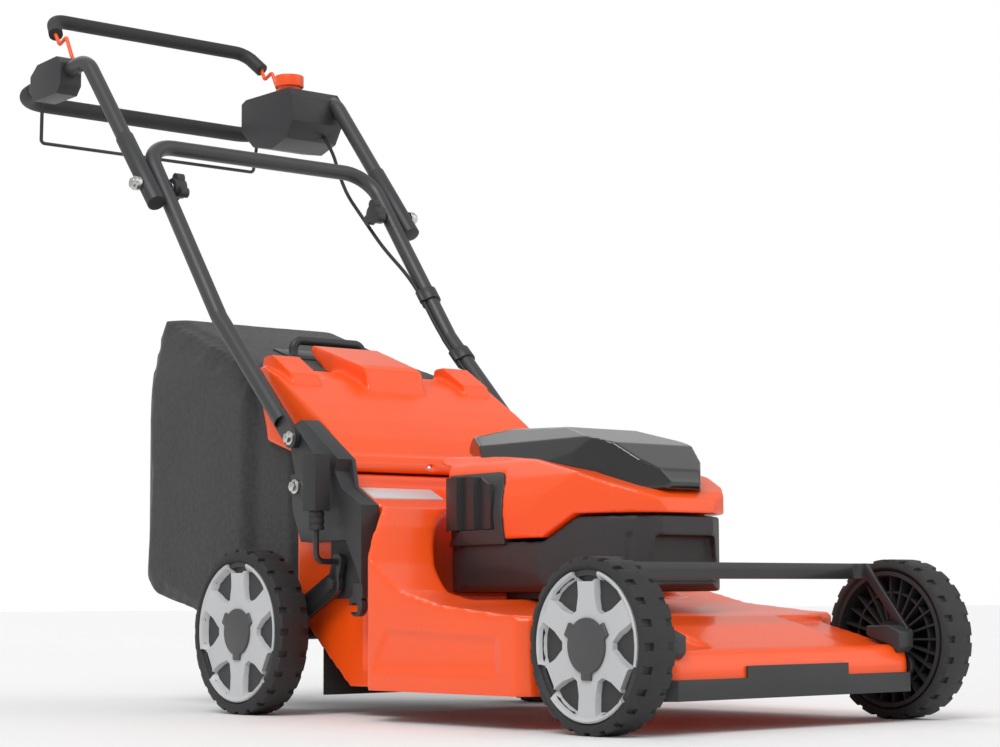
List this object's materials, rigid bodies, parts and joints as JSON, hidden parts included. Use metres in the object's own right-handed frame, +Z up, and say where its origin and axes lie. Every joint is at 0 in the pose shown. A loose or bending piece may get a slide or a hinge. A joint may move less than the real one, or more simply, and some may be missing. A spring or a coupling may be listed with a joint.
{
  "type": "push lawn mower",
  "caption": "Walk-behind battery mower: stamped steel deck, rear cloth bag under a hinged flap, folding tube handle with stop bail and drive bail.",
  "frame": {"origin": "on the ground under the middle of the mower's bounding box", "axes": "+Y backwards towards the person who pushes it, +Z up, +X to the mower's left, so the right-hand side is at -X"},
  "size_m": [0.576, 1.6203, 1.162],
  "materials": {
    "orange_paint": "gloss powder coat",
    "orange_plastic": "gloss",
    "orange_wire": "gloss",
    "black_plastic": "fine grain",
    "lid_plastic": "gloss",
    "tube_paint": "satin powder coat",
    "black_paint": "satin",
    "grey_plastic": "satin",
    "cap_plastic": "matte",
    "tyre_rubber": "matte",
    "soft_grip": "matte",
    "skirt_rubber": "matte",
    "bag_cloth": "woven",
    "cable_rubber": "matte",
    "bright_steel": "zinc plated",
    "blade_steel": "satin",
    "cast_alloy": "as cast",
    "battery_plastic": "satin"
  },
  "bodies": {
    "chassis": {"deck_shell": "orange_paint", "front_bumper": "black_plastic", "rear_skirt": "skirt_rubber", "right_handle_bracket": "black_plastic", "left_handle_bracket": "black_plastic", "lift_bar": "black_paint", "right_lift_block": "black_plastic", "left_lift_block": "black_plastic", "lift_bar_screws": "bright_steel", "cutting_motor": "cast_alloy", "motor_housing_base": "black_plastic", "battery_pack": "battery_plastic", "motor_cover": "orange_plastic", "side_grilles": "black_plastic", "flap_hinge_rod": "bright_steel", "flap_springs": "bright_steel", "lower_handle": "tube_paint", "pivot_bolts": "bright_steel", "handle_bolts": "black_paint", "lower_cable": "cable_rubber", "cable_clips": "black_plastic"},
    "front_axle": {"front_axle": "black_paint"},
    "rear_axle": {"rear_axle_frame": "black_paint", "drive_gearbox": "cast_alloy", "height_lever": "bright_steel", "lever_grip": "black_plastic"},
    "drive_shaft": {"drive_shaft": "bright_steel"},
    "cutter": {"motor_shaft": "bright_steel", "blade_adapter": "cast_alloy", "blade": "blade_steel", "blade_bolt": "bright_steel"},
    "battery_lid": {"battery_lid": "lid_plastic"},
    "rear_flap": {"rear_flap": "orange_plastic"},
    "grass_bag": {"bag_fabric": "bag_cloth", "bag_frame": "black_paint", "bag_handle": "black_plastic"},
    "handle": {"upper_handle": "tube_paint", "tube_sleeves": "black_plastic", "handle_grip": "soft_grip", "bail_mount": "black_plastic", "control_box": "black_plastic", "upper_cable": "cable_rubber"},
    "right_knob": {"right_knob": "black_plastic"},
    "left_knob": {"left_knob": "black_plastic"},
    "stop_bail": {"bail_bar": "black_plastic", "bail_wires": "orange_wire"},
    "drive_bail": {"drive_bail": "black_paint"},
    "start_button": {"start_button": "orange_plastic"},
    "front_right_wheel": {"front_right_tyre": "tyre_rubber", "front_right_rim": "grey_plastic", "front_right_cap": "cap_plastic"},
    "front_left_wheel": {"front_left_tyre": "tyre_rubber", "front_left_rim": "grey_plastic", "front_left_cap": "cap_plastic"},
    "rear_right_wheel": {"rear_right_tyre": "tyre_rubber", "rear_right_rim": "grey_plastic", "rear_right_cap": "cap_plastic"},
    "rear_left_wheel": {"rear_left_tyre": "tyre_rubber", "rear_left_rim": "grey_plastic", "rear_left_cap": "cap_plastic"}
  },
  "joints": [
    {"name": "height_adjust", "type": "hinge", "parent": "chassis", "child": "rear_axle", "pos_m": [0, -0.12165, 0.178], "axis": [-1, 0, 0], "range_deg": [0, 15.5]},
    {"name": "front_height", "type": "hinge", "parent": "chassis", "child": "front_axle", "pos_m": [0, -0.75165, 0.07], "axis": [-1, 0, 0], "range_deg": [0, 40.2]},
    {"name": "drive_shaft_spin", "type": "hinge", "parent": "rear_axle", "child": "drive_shaft", "pos_m": [0, 0.01835, 0.1135], "axis": [1, 0, 0], "continuous": true},
    {"name": "front_right_spin", "type": "hinge", "parent": "front_axle", "child": "front_right_wheel", "pos_m": [-0.255, -0.70865, 0.1015], "axis": [1, 0, 0], "continuous": true},
    {"name": "front_left_spin", "type": "hinge", "parent": "front_axle", "child": "front_left_wheel", "pos_m": [0.255, -0.70865, 0.1015], "axis": [1, 0, 0], "continuous": true},
    {"name": "rear_right_spin", "type": "hinge", "parent": "rear_axle", "child": "rear_right_wheel", "pos_m": [-0.263, 0.01835, 0.1135], "axis": [1, 0, 0], "continuous": true},
    {"name": "rear_left_spin", "type": "hinge", "parent": "rear_axle", "child": "rear_left_wheel", "pos_m": [0.263, 0.01835, 0.1135], "axis": [1, 0, 0], "continuous": true},
    {"name": "blade_spin", "type": "hinge", "parent": "chassis", "child": "cutter", "pos_m": [0, -0.38165, 0.06], "axis": [0, 0, 1], "continuous": true},
    {"name": "lid_hinge", "type": "hinge", "parent": "chassis", "child": "battery_lid", "pos_m": [0, -0.20765, 0.366], "axis": [-1, 0, 0], "range_deg": [0, 75]},
    {"name": "flap_hinge", "type": "hinge", "parent": "chassis", "child": "rear_flap", "pos_m": [0, -0.12165, 0.338], "axis": [-1, 0, 0], "range_deg": [-60, 0], "stiffness_Nm_per_rad": 0.4, "springref_deg": 34.38},
    {"name": "bag_lift_off", "type": "slide", "parent": "chassis", "child": "grass_bag", "axis": [0, 0.94, 0.3412], "range_m": [0, 0.35]},
    {"name": "handle_fold", "type": "hinge", "parent": "chassis", "child": "handle", "pos_m": [0, 0.35203, 0.796], "axis": [1, 0, 0], "range_deg": [0, 170], "deforming": ["upper_cable"]},
    {"name": "right_knob_turn", "type": "hinge", "parent": "chassis", "child": "right_knob", "pos_m": [-0.19, 0.35203, 0.796], "axis": [1, 0, 0], "continuous": true},
    {"name": "left_knob_turn", "type": "hinge", "parent": "chassis", "child": "left_knob", "pos_m": [0.19, 0.35203, 0.796], "axis": [1, 0, 0], "continuous": true},
    {"name": "stop_bail_pull", "type": "hinge", "parent": "handle", "child": "stop_bail", "pos_m": [0, 0.64035, 1.034], "axis": [-1, 0, 0], "range_deg": [0, 42], "stiffness_Nm_per_rad": 1.6, "springref_deg": -34.38},
    {"name": "drive_bail_pull", "type": "hinge", "parent": "handle", "child": "drive_bail", "pos_m": [0, 0.65835, 1.004], "axis": [1, 0, 0], "range_deg": [0, 23], "stiffness_Nm_per_rad": 0.8, "springref_deg": -22.92},
    {"name": "start_press", "type": "slide", "parent": "handle", "child": "start_button", "axis": [0, 0, -1], "range_m": [0, 0.006], "stiffness_N_per_m": 300, "springref_m": -0.002}
  ],
  "couplings": [
    {"joint": "front_height", "follows": "height_adjust", "ratio": 2.58}
  ]
}
